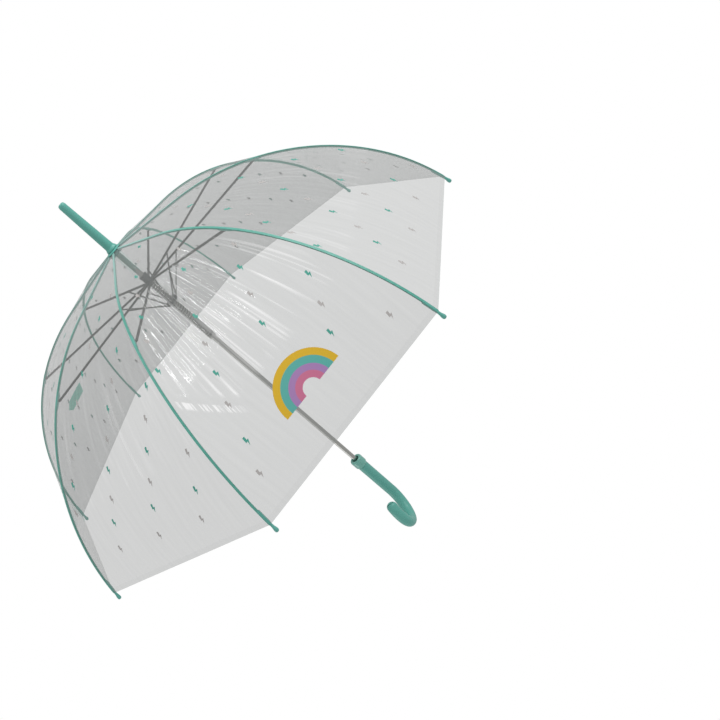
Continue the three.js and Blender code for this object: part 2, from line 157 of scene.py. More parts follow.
def grain(material, size_mm, strength, rough, tint=None, stretch=(1, 1, 1)):
    """Fine relief, roughness and colour variation of one real size in millimetres."""
    place = add_node(material, "ShaderNodeTexCoord")
    mapping = add_node(material, "ShaderNodeMapping", {"Vector": place.outputs["Object"], "Scale": stretch})
    pattern = add_node(material, "ShaderNodeTexNoise",
                       {"Vector": mapping.outputs["Vector"], "Scale": 1 / (size_mm * MM),
                        "Detail": GRAIN_DETAIL})
    level = pattern.outputs["Fac"]
    bump = add_node(material, "ShaderNodeBump",
                    {"Height": level, "Strength": strength, "Distance": size_mm * MM * GRAIN_RELIEF})
    feed(material, bump.outputs["Normal"], "Normal")
    spread = add_node(material, "ShaderNodeMapRange",
                      {"Value": level, "To Min": rough[0], "To Max": rough[1]})
    feed(material, spread.outputs["Result"], "Roughness")
    if tint:
        ramp = add_node(material, "ShaderNodeValToRGB", {"Fac": level})
        for stop, position, colour in zip(ramp.color_ramp.elements, (GRAIN_DARK, GRAIN_LIGHT), tint):
            stop.position = position
            stop.color = linear(colour)
        feed(material, ramp.outputs["Color"], "Base Color")
    return material


# Mint ABS, injection moulded with a fine spark-eroded texture: satin, with soft wide highlights.
mint_abs = grain(new_material("mint_abs_moulded", "68BBAD", 0.38, Coat_Weight=0.15, Coat_Roughness=0.2),
                 0.7, 0.12, rough=(0.32, 0.44), tint=("63B5A8", "6DC0B2"))
# The same ABS from a polished mould: the collar, paler and glossier than the handle.
polished_abs = grain(new_material("mint_abs_polished", "7CC4B6", 0.18, Coat_Weight=0.5, Coat_Roughness=0.08),
                     3.0, 0.08, rough=(0.14, 0.24), tint=("79C2B3", "82C8BA"))
# Soft PVC piping, extruded and welded over the seams: slightly rubbery, with a faint ripple.
piping_pvc = grain(new_material("mint_pvc_extruded", "62B5A4", 0.35), 6.0, 0.3, rough=(0.28, 0.45),
                   tint=("5AAD9C", "68BBAA"))


def pale_to_the_crown(material, pale, start, stop):
    """The piping is paler near the crown and takes its full colour further out."""
    base = shader_of(material).inputs["Base Color"]
    full = base.links[0].from_socket
    place = add_node(material, "ShaderNodeTexCoord")
    level = add_node(material, "ShaderNodeVectorMath", {0: place.outputs["Object"], 1: (1, 1, 0)},
                     operation="MULTIPLY")
    away = add_node(material, "ShaderNodeVectorMath", {0: level.outputs["Vector"]}, operation="LENGTH")
    amount = add_node(material, "ShaderNodeMapRange",
                      {"Value": away.outputs["Value"], "From Min": start, "From Max": stop})
    # the colour mix has one socket of each data type under the same name, so its colours go by number
    mix = add_node(material, "ShaderNodeMix", {"Factor": amount.outputs["Result"], 6: linear(pale), 7: full},
                   data_type="RGBA")
    feed(material, mix.outputs[2], "Base Color")


pale_to_the_crown(piping_pvc, "A6D3CB", 60 * MM, 190 * MM)
# Welded PVC strap: thin, soft and tinted. Its faint glow is painted light: an emission that stands in for the
# light that comes through it.
strap_pvc = grain(new_material("teal_pvc_welded", "45B5A0", 0.3, Alpha=0.75, Emission_Strength=0.5,
                               Emission_Color=linear("35C4AC")), 4.0, 0.15,
                  rough=(0.25, 0.4), tint=("3FAE99", "4BBBA6"))
# Black nylon, moulded and lightly scuffed where it slides.
black_nylon = grain(new_material("black_nylon_moulded", "3A3D3F", 0.45), 1.2, 0.3, rough=(0.35, 0.6),
                    tint=("333637", "45484A"))
# Steel tube, drawn and chromed: long fine draw lines along the shaft.
drawn_steel = grain(new_material("steel_tube_drawn", "C0C0BD", 0.2, 1.0), 0.6, 0.08, stretch=(1, 1, 0.01),
                    rough=(0.12, 0.24), tint=("B4B4B0", "CACAC6"))
# Pressed channel steel of the stretchers and struts, phosphated dark and oiled.
dark_steel = grain(new_material("steel_channel_phosphated", "55524F", 0.42, 0.8), 1.5, 0.15,
                   rough=(0.32, 0.52), tint=("4A4745", "605C59"))
# Spring wire, oil-tempered: smooth and dark.
spring_wire = grain(new_material("steel_wire_tempered", "5E5C5A", 0.3, 1.0), 0.8, 0.05, rough=(0.22, 0.4))
# Pearl-pink ABS button, polished.
button_abs = grain(new_material("pink_abs_polished", "DCC9CE", 0.2, Coat_Weight=0.4), 2.0, 0.05,
                   rough=(0.15, 0.28))


def product(material, *factors):
    """Several factors multiplied."""
    total = factors[0]
    for factor in factors[1:]:
        total = add_node(material, "ShaderNodeMath", {0: total, 1: factor},
                         operation="MULTIPLY").outputs["Value"]
    return total


def drawn_out_noise(material, uv, size_mm, stretch, detail):
    """Noise drawn out along the gore into straight lines."""
    mapping = add_node(material, "ShaderNodeMapping", {"Vector": uv, "Scale": (1, stretch, 1)})
    pattern = add_node(material, "ShaderNodeTexNoise",
                       {"Vector": mapping.outputs["Vector"], "Scale": 1 / (size_mm * MM), "Detail": detail})
    return pattern.outputs["Fac"]


def painted_pleat_highlights(material):
    """Painted highlights: how far the film's colour is lightened towards white, in lines along its pleats,
    most of all on the front gore, and in a row of short ticks where the front gore was folded across. They
    stand in for the light that the pleats and the fold reflect."""
    uv = add_node(material, "ShaderNodeUVMap", uv_map="pleats").outputs["UV"]
    spot = add_node(material, "ShaderNodeSeparateXYZ", {"Vector": uv})
    across, along = spot.outputs["X"], spot.outputs["Y"]
    # how far along the gore from the slanting fold that crosses it
    from_fold = add_node(material, "ShaderNodeMath", {0: across, 1: -FOLD_SLOPE, 2: along},
                         operation="MULTIPLY_ADD").outputs["Value"]
    # a line or tick is where the noise is high, so its ends are pointed
    fine = drawn_out_noise(material, uv, 5.0, 0.01, 1)
    swell = drawn_out_noise(material, uv, 14, 0.12, 1)
    tick = drawn_out_noise(material, uv, 2.6, 0.02, 1)
    part = {}
    for name, value, low, high, at_low, at_high in (
            ("fine_lines", fine, 0.51, 0.66, 0, 1),
            ("swells", swell, 0.4, 0.6, 0, 1),
            ("lines_start", along, 190 * MM, 290 * MM, 0, 1),
            ("lines_stop", along, PLEATS_TO - 12 * MM, PLEATS_TO, 1, 0),
            ("before_fold", from_fold, FOLD_AT - 26 * MM, FOLD_AT - 18 * MM, 1, 0),
            ("front_gore", across, 0.4, 0.5, 1, 0),
            ("other_gores", across, 0.4, 0.5, 0, 0.3),
            ("ticks", tick, 0.47, 0.56, 0, 1),
            ("ticks_start", from_fold, FOLD_AT - 7 * MM, FOLD_AT - 5 * MM, 0, 1),
            ("ticks_stop", from_fold, FOLD_AT + 3 * MM, FOLD_AT + 7 * MM, 1, 0),
            ("ticks_left", across, -PLEAT_FAN, -100 * MM, 0, 1),
            ("ticks_right", across, -66 * MM, -56 * MM, 1, 0)):
        part[name] = add_node(material, "ShaderNodeMapRange",
                              {"Value": value, "From Min": low, "From Max": high,
                               "To Min": at_low, "To Max": at_high}).outputs["Result"]
    share = add_node(material, "ShaderNodeMath",
                     {0: part["before_fold"], 1: part["front_gore"], 2: part["other_gores"]},
                     operation="MULTIPLY_ADD")
    lines = product(material, part["fine_lines"], part["swells"], part["lines_start"], part["lines_stop"],
                    share.outputs["Value"])
    ticks = product(material, part["ticks_start"], part["ticks_stop"], part["ticks_left"],
                    part["ticks_right"], part["ticks"])
    return add_node(material, "ShaderNodeMath", {0: lines, 1: ticks}, operation="MAXIMUM").outputs["Value"]


FILM_GREY = "989C9A"
FILM_CLEAREST, FILM_HAZIEST = 0.455, 0.49  # how much of what is behind the film it hides
HEM_HAZE = 0.025
HEM_EDGE = 0.5 * MM


def clear_film():
    """Soft clear polyolefin film, cast 0.15 mm thick: see-through and faintly smoky, glossy, with fine draw
    lines from the crown to the rim and a denser welded hem."""
    material = new_material("clear_film_cast", FILM_GREY, 0.12, Coat_Weight=1.0, Coat_Roughness=0.05,
                            Coat_IOR=1.6, Specular_IOR_Level=0.7)
    uv = add_node(material, "ShaderNodeTexCoord").outputs["UV"]
    lines = drawn_out_noise(material, uv, 5, 0.05, 3)
    bump = add_node(material, "ShaderNodeBump", {"Height": lines, "Strength": 0.06, "Distance": 0.4 * MM})
    feed(material, bump.outputs["Normal"], "Normal")
    haze = add_node(material, "ShaderNodeMapRange", {"Value": lines, "From Min": 0.3, "From Max": 0.7,
                                                     "To Min": FILM_CLEAREST, "To Max": FILM_HAZIEST})
    hem_arc = RIM_ARC - HEM_WIDTH
    arc = add_node(material, "ShaderNodeSeparateXYZ", {"Vector": uv})
    hem = add_node(material, "ShaderNodeMapRange", {"Value": arc.outputs["Y"], "From Min": hem_arc,
                                                    "From Max": hem_arc + HEM_EDGE, "To Max": HEM_HAZE})
    total = add_node(material, "ShaderNodeMath", {0: haze.outputs["Result"], 1: hem.outputs["Result"]})
    feed(material, total.outputs["Value"], "Alpha")
    # painted highlights: along the pleat lines and ticks the film's colour is mixed towards white, in place
    # of light that the pleats reflect
    shade = add_node(material, "ShaderNodeMix",
                     {"Factor": painted_pleat_highlights(material), 6: linear(FILM_GREY), 7: linear("FFFFFF")},
                     data_type="RGBA")
    feed(material, shade.outputs[2], "Base Color")
    return material


film = clear_film()


def ink(name, colour):
    """Screen-printed ink on the film: flat, opaque, with the slight unevenness of a printed layer."""
    return grain(new_material(name, colour, 0.4), 1.5, 0.05, rough=(0.32, 0.5))


INKS = {
    "mint": ink("mint_screen_ink", "4FAE9C"),
    "white": ink("white_screen_ink", "C2BEBC"),
    "yellow": ink("yellow_screen_ink", "EDC02A"),
    "teal": ink("teal_screen_ink", "62BCB2"),
    "lilac": ink("lilac_screen_ink", "B58AC4"),
    "pink": ink("pink_screen_ink", "DA7A9E"),
}


# ---------------------------------------------------------------- making pieces
MERGE = 1e-6
CORNER_SHARE = 0.45  # the most of a side that one rounded corner may take


def new_piece(name, bm, material):
    """Turns a bmesh into a smooth-shaded object at the origin, with its material."""
    mesh = bpy.data.meshes.new(name)
    bm.to_mesh(mesh)
    bm.free()
    mesh.materials.append(material)
    mesh.shade_smooth()
    piece = bpy.data.objects.new(name, mesh)
    bpy.context.collection.objects.link(piece)
    return piece


def finish_piece(name, bm, material, body, replaces=(), place=None, sharp=35):
    """Closes a solid, sets it in its place, says which body it moves with and hides the parts it stands for.
    """
    bmesh.ops.remove_doubles(bm, verts=bm.verts, dist=MERGE)
    bmesh.ops.recalc_face_normals(bm, faces=bm.faces)
    piece = new_piece(name, bm, material)
    if place is not None:
        piece.data.transform(place)
    piece.data.set_sharp_from_angle(angle=math.radians(sharp))
    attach(piece, body)
    if replaces:
        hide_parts(*replaces)
    return piece


def turned(profile, segments=64):
    """A turned solid: profile is (radius, height) from pole to pole, or closed on itself."""
    bm = bmesh.new()
    corners = [bm.verts.new((r, 0, z)) for r, z in profile]
    edges = [bm.edges.new(pair) for pair in zip(corners, corners[1:])]
    bmesh.ops.spin(bm, geom=corners + edges, cent=(0, 0, 0), axis=(0, 0, 1), angle=2 * math.pi,
                   steps=segments, use_merge=True)
    bmesh.ops.remove_doubles(bm, verts=bm.verts, dist=MERGE)
    return bm


def rounded(profile, corner, steps=4):
    """Rounds the inner corners of a (radius, height) profile by small arcs."""
    points = [Vector(p) for p in profile]
    out = [points[0]]
    for before, at, after in zip(points, points[1:], points[2:]):
        reach = min(corner, (before - at).length * CORNER_SHARE, (after - at).length * CORNER_SHARE)
        a, b = at + (before - at).normalized() * reach, at + (after - at).normalized() * reach
        for i in range(steps + 1):
            t = i / steps
            out.append((1 - t) ** 2 * a + 2 * t * (1 - t) * at + t ** 2 * b)
    return [tuple(p) for p in out + [points[-1]]]


def frame_at(point, along, side=(0, 1, 0)):
    """A place on a route: its point, with local Z along the route and local X in the route's plane."""
    z = Vector(along).normalized()
    y = Vector(side).normalized()
    x = y.cross(z).normalized()
    return Matrix.Translation(point) @ Matrix((x, y, z)).transposed().to_4x4()


def swept(section, frames, sizes=None):
    """A solid swept from frame to frame. Section is (x, y) points, and sizes scales it at each frame."""
    sizes = sizes or [1.0] * len(frames)
    bm = bmesh.new()
    ring = [bm.verts.new((x * sizes[0], y * sizes[0], 0)) for x, y in section]
    end = bm.faces.new(ring)
    bmesh.ops.transform(bm, matrix=frames[0], verts=ring)
    for i in range(1, len(frames)):
        made = bmesh.ops.extrude_face_region(bm, geom=[end])["geom"]
        end = next(g for g in made if isinstance(g, bmesh.types.BMFace))
        grow = Matrix.Scale(sizes[i] / sizes[i - 1], 4)
        bmesh.ops.transform(bm, matrix=frames[i] @ grow @ frames[i - 1].inverted(), verts=end.verts)
    return bm


def circle(radius, sides):
    return [(radius * math.cos(2 * math.pi * i / sides), radius * math.sin(2 * math.pi * i / sides))
            for i in range(sides)]


def rib_frame(arc, lift=0.0):
    r, z, slope = rib_point(arc, lift)
    return frame_at((r, 0, z), (math.cos(slope), 0, -math.sin(slope)))


def rib_frames(start, stop, step=6 * MM, lift=0.0):
    count = max(2, math.ceil((stop - start) / step) + 1)
    return [rib_frame(start + (stop - start) * i / (count - 1), lift) for i in range(count)]


# ---------------------------------------------------------------- stick and handle
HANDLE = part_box("handle")
HANDLE_R = (HANDLE[1].y - HANDLE[0].y) / 2
GRIP_TOP = HANDLE[1].z
GRIP_LENGTH = 83 * MM
GRIP_STEPS = 12
HOOK_R = 40 * MM
HOOK_TURN = math.radians(216)
HOOK_STEPS = 56
DOME_STEPS = 10
DOME_POLE = 0.02  # the dome's last ring, as a share of the handle's radius
TOP_ROUND, TOP_SHARE = 0.6 * MM, 0.96


def make_handle():
    """The crook: a straight grip, a round hook that curls back past the half turn, and a domed end."""
    frames = []
    for i in range(GRIP_STEPS + 1):
        frames.append(frame_at((0, 0, GRIP_TOP - GRIP_LENGTH * i / GRIP_STEPS), (0, 0, -1)))
    for i in range(1, HOOK_STEPS + 1):
        a = HOOK_TURN * i / HOOK_STEPS
        point = (HOOK_R - HOOK_R * math.cos(a), 0, GRIP_TOP - GRIP_LENGTH - HOOK_R * math.sin(a))
        frames.append(frame_at(point, (math.sin(a), 0, -math.cos(a))))
    sizes = [1.0] * len(frames)
    last = frames[-1]
    for i in range(1, DOME_STEPS + 1):
        a = math.pi / 2 * i / DOME_STEPS
        frames.append(last @ Matrix.Translation((0, 0, HANDLE_R * math.sin(a))))
        sizes.append(max(math.cos(a), DOME_POLE))
    # a small rounding at the top edge, where the collar stands on the grip
    sizes[0] = TOP_SHARE
    frames.insert(1, frames[0] @ Matrix.Translation((0, 0, TOP_ROUND)))
    sizes.insert(1, 1.0)
    finish_piece("crook_handle", swept(circle(HANDLE_R, 48), frames, sizes), mint_abs, "root",
                 replaces=["handle"], sharp=60)


COLLAR_WELL_R = 6.85 * MM
COLLAR_FLOOR = 2 * MM
# the black sheet that paints the shade inside the collar's well: its gap to the walls, its wall and its bore
SHADE_SHEET_GAP = 0.1 * MM
SHADE_SHEET_WALL = 0.4 * MM
SHADE_SHEET_BORE = SLIDE_BORE + 0.05 * MM


def make_collar():
    """The collar on the grip, with a well for the latch tube, and a black sheet in the well that paints the
    shade of the recess.
    """
    low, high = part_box("collar")
    top, bottom, outer = high.z, low.z, high.y
    floor = bottom + COLLAR_FLOOR
    profile = [(SLIDE_BORE, bottom), (outer - 1.6 * MM, bottom), (outer, bottom + 2.4 * MM),
               (outer, top - 1.6 * MM), (outer - 1.2 * MM, top), (COLLAR_WELL_R, top), (COLLAR_WELL_R, floor),
               (SLIDE_BORE, floor), (SLIDE_BORE, bottom)]
    finish_piece("collar_shell", turned(rounded(profile, 0.5 * MM)), polished_abs, "root",
                 replaces=["collar"])
    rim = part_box("release_button")[0].z - 0.4 * MM  # the painted-shade sheet stays below the button
    # a black sheet lining the well: painted shade for the recess
    under, over = floor + SHADE_SHEET_GAP, floor + SHADE_SHEET_GAP + SHADE_SHEET_WALL
    wide, narrow = COLLAR_WELL_R - SHADE_SHEET_GAP, COLLAR_WELL_R - SHADE_SHEET_GAP - SHADE_SHEET_WALL
    shade_sheet = [(SHADE_SHEET_BORE, under), (wide, under), (wide, rim), (narrow, rim), (narrow, over),
             (SHADE_SHEET_BORE, over), (SHADE_SHEET_BORE, under)]
    finish_piece("collar_well_shade_sheet", turned(shade_sheet), black_nylon, "root")


def make_button():
    low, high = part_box("release_button")
    bm = bmesh.new()
    bmesh.ops.create_cube(bm, size=1)
    bmesh.ops.scale(bm, vec=high - low, verts=bm.verts)
    bmesh.ops.translate(bm, vec=(low + high) / 2, verts=bm.verts)
    bmesh.ops.bevel(bm, geom=bm.edges[:], offset=1.4 * MM, offset_type="OFFSET", segments=5, profile=0.5,
                    affect="EDGES", material=-1)
    finish_piece("push_button", bm, button_abs, "button", replaces=["release_button"])


TUBE_WALL = 0.6 * MM


def make_shaft():
    low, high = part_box("shaft")
    outer, inner = high.x, high.x - TUBE_WALL
    profile = [(inner, low.z), (outer, low.z), (outer, high.z), (inner, high.z), (inner, low.z)]
    finish_piece("stick_tube", turned(profile, 48), drawn_steel, "root", replaces=["shaft"])


def make_ferrule():
    """The long tip over the stick: a flared foot, a slow taper and a blunt nose."""
    low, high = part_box("ferrule")
    foot, nose, flare = low.z, high.z, high.x
    profile = [(SLIDE_BORE, foot), (flare, foot), (flare, foot + 1.5 * MM), (7.3 * MM, foot + 5 * MM),
               (5.75 * MM, nose - 4 * MM), (4.9 * MM, nose - 1 * MM), (3 * MM, nose), (0, nose)]
    finish_piece("ferrule_tip", turned(rounded(profile, 1.2 * MM, 6)), mint_abs, "root",
                 replaces=["ferrule"])


def make_crown_cap():
    """The dished washer that clamps the film's middle."""
    low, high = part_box("crown_washer")
    profile = [(SLIDE_BORE, low.z + 1.2 * MM), (high.x, low.z), (high.x, low.z + 0.6 * MM),
               (9.5 * MM, high.z), (SLIDE_BORE, high.z), (SLIDE_BORE, low.z + 1.2 * MM)]
    finish_piece("crown_cap", turned(rounded(profile, 0.3 * MM)), mint_abs, "root",
                 replaces=["crown_washer"])


# ---------------------------------------------------------------- hubs and spring
FLANGE_R = 11.2 * MM
FLANGE_HALF = 2.2 * MM
FLANGE_SLOT_R = 6.85 * MM  # how far in the slots reach
FLANGE_SLOT_FAR = 6.25 * MM
FLANGE_RIM_STEPS = 4


def slotted_disc(level, near, far):
    """A hub flange with a slot at each spoke between two side distances."""
    bottom = level - FLANGE_HALF
    near_x, far_x = (math.sqrt(FLANGE_R ** 2 - side ** 2) for side in (near, far))
    bm = bmesh.new()
    outline = []
    for k in range(RIBS):
        turn = 2 * HALF_PITCH * k
        for x, y in ((near_x, near), (FLANGE_SLOT_R, near), (FLANGE_SLOT_R, far), (far_x, far)):
            outline.append(spoke(turn) @ Vector((x, y, bottom)))
        start = turn + math.atan2(far, far_x)
        stop = turn + 2 * HALF_PITCH + math.atan2(near, near_x)
        for i in range(1, FLANGE_RIM_STEPS):
            a = start + (stop - start) * i / FLANGE_RIM_STEPS
            outline.append(Vector((FLANGE_R * math.cos(a), FLANGE_R * math.sin(a), bottom)))
    face = bm.faces.new([bm.verts.new(p) for p in outline])
    made = bmesh.ops.extrude_face_region(bm, geom=[face])["geom"]
    upper = [g for g in made if isinstance(g, bmesh.types.BMVert)]
    bmesh.ops.translate(bm, vec=(0, 0, 2 * FLANGE_HALF), verts=upper)
    bmesh.ops.recalc_face_normals(bm, faces=bm.faces)
    rims = [e for e in bm.edges if abs(e.verts[0].co.z - e.verts[1].co.z) < MERGE]
    bmesh.ops.bevel(bm, geom=rims, offset=0.35 * MM, offset_type="OFFSET", segments=2, profile=0.5,
                    affect="EDGES", material=-1)
    return bm


LATCH_TUBE_R = 4.9 * MM
LATCH_FOOT, LATCH_HEAD = 6 * MM, 8 * MM  # the lengths that the wound spring leaves free at the tube's ends
LATCH_WIRE_R = 0.65 * MM
LATCH_TURNS = 18


def make_hubs():
    """The runner and the strut hub: their flanges, the runner's sleeve and the latch tube with its spring."""
    for name, body, level, near in (("runner_flange", "runner_slider", RUNNER_Z, 1.35 * MM),
                                    ("strut_hub_flange", "strut_slider", STRUT_HUB_Z, 3.85 * MM)):
        finish_piece(name, slotted_disc(level, near, FLANGE_SLOT_FAR), black_nylon, body,
                     sharp=30)
    low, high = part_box("runner")
    head = NECK_R + 0.7 * MM
    neck = [(SLIDE_BORE, low.z), (NECK_R, low.z), (NECK_R, high.z - 4 * MM), (head, high.z - 3 * MM),
            (head, high.z), (SLIDE_BORE, high.z), (SLIDE_BORE, low.z)]
    finish_piece("runner_sleeve", turned(rounded(neck, 0.5 * MM)), black_nylon, "runner_slider",
                 replaces=["runner"])
    # a slim tube below the strut hub, with a spring wound round it down to its plain collar
    low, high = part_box("strut_hub")
    foot_r = NECK_R - 0.6 * MM
    profile = [(SLIDE_BORE, low.z), (foot_r, low.z), (foot_r, low.z + LATCH_FOOT - 1 * MM),
               (LATCH_TUBE_R, low.z + LATCH_FOOT), (LATCH_TUBE_R, high.z - LATCH_HEAD),
               (NECK_R, high.z - LATCH_HEAD + 1 * MM), (NECK_R, high.z), (SLIDE_BORE, high.z),
               (SLIDE_BORE, low.z)]
    finish_piece("latch_tube", turned(rounded(profile, 0.4 * MM)), drawn_steel, "strut_slider",
                 replaces=["strut_hub"])
    coil = helix(low.z + LATCH_FOOT, high.z - LATCH_HEAD, LATCH_WIRE_R,
                 LATCH_TUBE_R + LATCH_WIRE_R + 0.02 * MM, LATCH_TURNS)
    finish_piece("latch_spring", coil, spring_wire, "strut_slider", sharp=80)


def helix(bottom, top, wire, coil, turns, per_turn=20):
    """A wire wound round the shaft, with its end turns closed flat."""
    frames = []
    for i in range(turns * per_turn + 1):
        turn = i / per_turn
        a = 2 * math.pi * turn
        open_share = min(max((turn - 1) / (turns - 2), 0), 1)
        closed = min(turn, 1) + max(turn - turns + 1, 0)
        z = bottom + wire + 2 * wire * closed + (top - bottom - 6 * wire) * open_share
        around = Vector((-math.sin(a), math.cos(a), 0.1))
        frames.append(frame_at((coil * math.cos(a), coil * math.sin(a), z), around,
                               Vector((math.cos(a), math.sin(a), 0)).cross(around)))
    return swept(circle(wire, 8), frames)


def make_spring():
    """The opening spring between the hubs, which shortens as the strut hub closes up to the runner."""
    low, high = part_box("opening_spring")
    piece = finish_piece("coil_spring", helix(low.z, high.z, 0.6 * MM, 5.6 * MM, 10), spring_wire,
                         "runner_slider", replaces=["opening_spring"], sharp=80)
    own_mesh(piece)


# ---------------------------------------------------------------- ribs, stretchers, struts
def channel(width, depth, wall):
    """The section of a pressed U channel, open downwards."""
    w, d = width / 2, depth / 2
    return [(d, -w), (d, w), (-d, w), (-d, w - wall), (d - wall, w - wall), (d - wall, wall - w),
            (-d, wall - w), (-d, -w)]


ARM_END = 4 * MM  # the plain stretch at each end of an arm
RIVET_PROUD = 1.1 * MM
RIVET_ROUND = 0.3 * MM


def arm_frames(a, b, side, reach):
    """A straight route between two hinge points of an upright plane, set to one side of it."""
    a, b = Vector((a[0], side, a[1])), Vector((b[0], side, b[1]))
    along = (b - a).normalized()
    stops = (a - along * reach, a + along * ARM_END, b - along * ARM_END, b + along * reach)
    return [frame_at(p, along) for p in stops]


def round_the_shaft(name, bm, material, body, node=None, sharp=35):
    """Eight copies of one piece made in the upright plane over +X, one to each spoke."""
    for k in range(RIBS):
        stands_for = [node.format(k + 1)] if node else []
        finish_piece(name.format(k + 1), bm.copy(), material, body.format(k + 1), replaces=stands_for,
                     place=spoke(2 * HALF_PITCH * k), sharp=sharp)
    bm.free()


def rivet(at, from_side, to_side, radius):
    profile = rounded([(0, from_side), (radius, from_side), (radius, to_side), (0, to_side)], RIVET_ROUND)
    bm = turned(profile, 16)
    bmesh.ops.rotate(bm, cent=(0, 0, 0), matrix=Matrix.Rotation(-math.pi / 2, 3, "X"), verts=bm.verts)
    bmesh.ops.translate(bm, vec=(at[0], 0, at[1]), verts=bm.verts)
    return bm


def make_ribs():
    for end, node, start, stop in (("", "rib_upper_{}", RIB_INNER_END, FLEX_ARC),
                                   ("_end", "rib_lower_{}", FLEX_ARC, RIB_LENGTH)):
        rod = swept(circle(RIB_ROD_R, 12), rib_frames(start, stop))
        round_the_shaft("rib_rod_{}" + end, rod, piping_pvc, "rib_{}" + end, node)


def make_stretchers():
    """The rods from the runner to the ribs, the struts from the strut hub to them, and their rivets."""
    connector = rib_point(CONNECTOR_ARC, -CONNECTOR_DROP)[:2]
    runner, strut_hub = (PIVOT_R, RUNNER_Z), (PIVOT_R, STRUT_HUB_Z)
    run = Vector(connector) - Vector(runner)
    pin = Vector(runner) + run.normalized() * STRUT_REACH
    stretcher = swept(channel(2.2 * MM, 2.8 * MM, 0.5 * MM),
                      arm_frames(runner, connector, STRETCHER_SIDE, 1.1 * MM))
    round_the_shaft("stretcher_channel_{}", stretcher, dark_steel, "stretcher_arm_{}",
                    "stretcher_{}", sharp=30)
    strut = swept(channel(1.7 * MM, 1.5 * MM, 0.4 * MM), arm_frames(strut_hub, pin, STRUT_SIDE, 0.9 * MM))
    round_the_shaft("strut_strip_{}", strut, dark_steel, "strut_arm_{}", "strut_{}", sharp=30)
    strut_rivet = rivet(pin, STRETCHER_SIDE - RIVET_PROUD, STRUT_SIDE + RIVET_PROUD, 0.9 * MM)
    round_the_shaft("strut_rivet_{}", strut_rivet, dark_steel, "stretcher_arm_{}")
    connector_rivet = rivet(connector, -1.6 * MM, STRETCHER_SIDE + 1.5 * MM, 1 * MM)
    round_the_shaft("connector_rivet_{}", connector_rivet, dark_steel, "rib_{}")


PIPING_HALF = 1.6 * MM
PIPING_FOOT, PIPING_CROWN = -0.25 * MM, 1.15 * MM
PIPING_START = 6 * MM


def piping_section():
    """Flat below, where it is welded to the film, and round above."""
    points = [(PIPING_FOOT, -PIPING_HALF), (PIPING_FOOT, PIPING_HALF)]
    for i in range(1, 10):
        a = math.pi * i / 10
        points.append((PIPING_CROWN * math.sin(a), PIPING_HALF * math.cos(a)))
    return points


def make_piping():
    """The extruded strip welded over the seam between two gores."""
    for end, start, stop in (("", PIPING_START, FLEX_ARC), ("_end", FLEX_ARC, RIM_ARC)):
        bm = swept(piping_section(), rib_frames(start, stop, lift=FILM_LIFT + 0.1 * MM))
        round_the_shaft("seam_piping_{}" + end, bm, piping_pvc, "rib_{}" + end, sharp=50)


CONNECTOR_HALF = 12 * MM
CONNECTOR_R = 2.3 * MM
CONNECTOR_TAPER, CONNECTOR_MOUTH = 0.25, 0.62


def make_connectors():
    """The moulded sleeve on each rib that carries the stretcher's pin."""
    frames = rib_frames(CONNECTOR_ARC - CONNECTOR_HALF, CONNECTOR_ARC + CONNECTOR_HALF, 1 * MM)
    last = len(frames) - 1
    sizes = [1.0 - CONNECTOR_TAPER * abs(2 * i / last - 1) ** 3 for i in range(last + 1)]
    sizes[0] = sizes[last] = CONNECTOR_MOUTH
    round_the_shaft("rib_connector_{}", swept(circle(CONNECTOR_R, 20), frames, sizes), mint_abs, "rib_{}",
                    sharp=60)


# the end cap's outline: distances past the film's rim, and radii, in millimetres
TIP_OUTLINE = ((-22, 1.3), (-21.5, 1.9), (-20, 2.2), (-4, 2.2), (-1, 1.9), (1, 1.75), (4, 1.9), (7, 2.45),
               (9, 2.75), (11, 2.65), (12.1, 2.0), (12.6, 1.0))


def make_tips():
    """The rib's end cap: a sleeve that holds the film's corner, a waist and a rounded nose."""
    frames = [rib_frame(RIM_ARC + past * MM) for past, radius in TIP_OUTLINE]
    sizes = [radius for past, radius in TIP_OUTLINE]
    round_the_shaft("rib_tip_{}", swept(circle(1 * MM, 20), frames, sizes), mint_abs, "rib_{}_end",
                    sharp=70)


# ---------------------------------------------------------------- canopy film
SQUEEZE = math.cos(HALF_PITCH)
GORE_COLUMNS = 100
GORE_STEP = 4 * MM
# how strongly each gore is drawn into pleats
PLEAT_STRENGTH = (1.0, 0.45, 0.4, 0.5, 0.45, 0.5, 0.4, 0.35)
PLEAT_WAVES = ((9.5 * MM, 0.32 * MM), (7.3 * MM, 0.22 * MM), (13.1 * MM, 0.34 * MM))  # spacing, height
PLEATS_FADE_IN, PLEATS_FADE_OUT = 120 * MM, 60 * MM
PLEATS_TO_FOLD = 14 * MM  # how far short of the fold they end
SWELL_ACROSS, SWELL_ALONG = 24 * MM, 110 * MM
SLACK = 0.3 * MM
SLACK_ACROSS, SLACK_ALONG = 120 * MM, 140 * MM
SLACK_FROM, SLACK_TO = 100 * MM, 260 * MM
CREASE_WIDTH, CREASE_HEIGHT = 4 * MM, 1.1 * MM
PUCKER_WIDTH, PUCKER_HEIGHT, PUCKER_LENGTH = 8 * MM, 0.35 * MM, 9 * MM
FAR_OFF = 3  # past this many widths a crease or pucker has died away


def fade(value, start, stop):
    t = min(max((value - start) / (stop - start), 0), 1)
    return t * t * (3 - 2 * t)


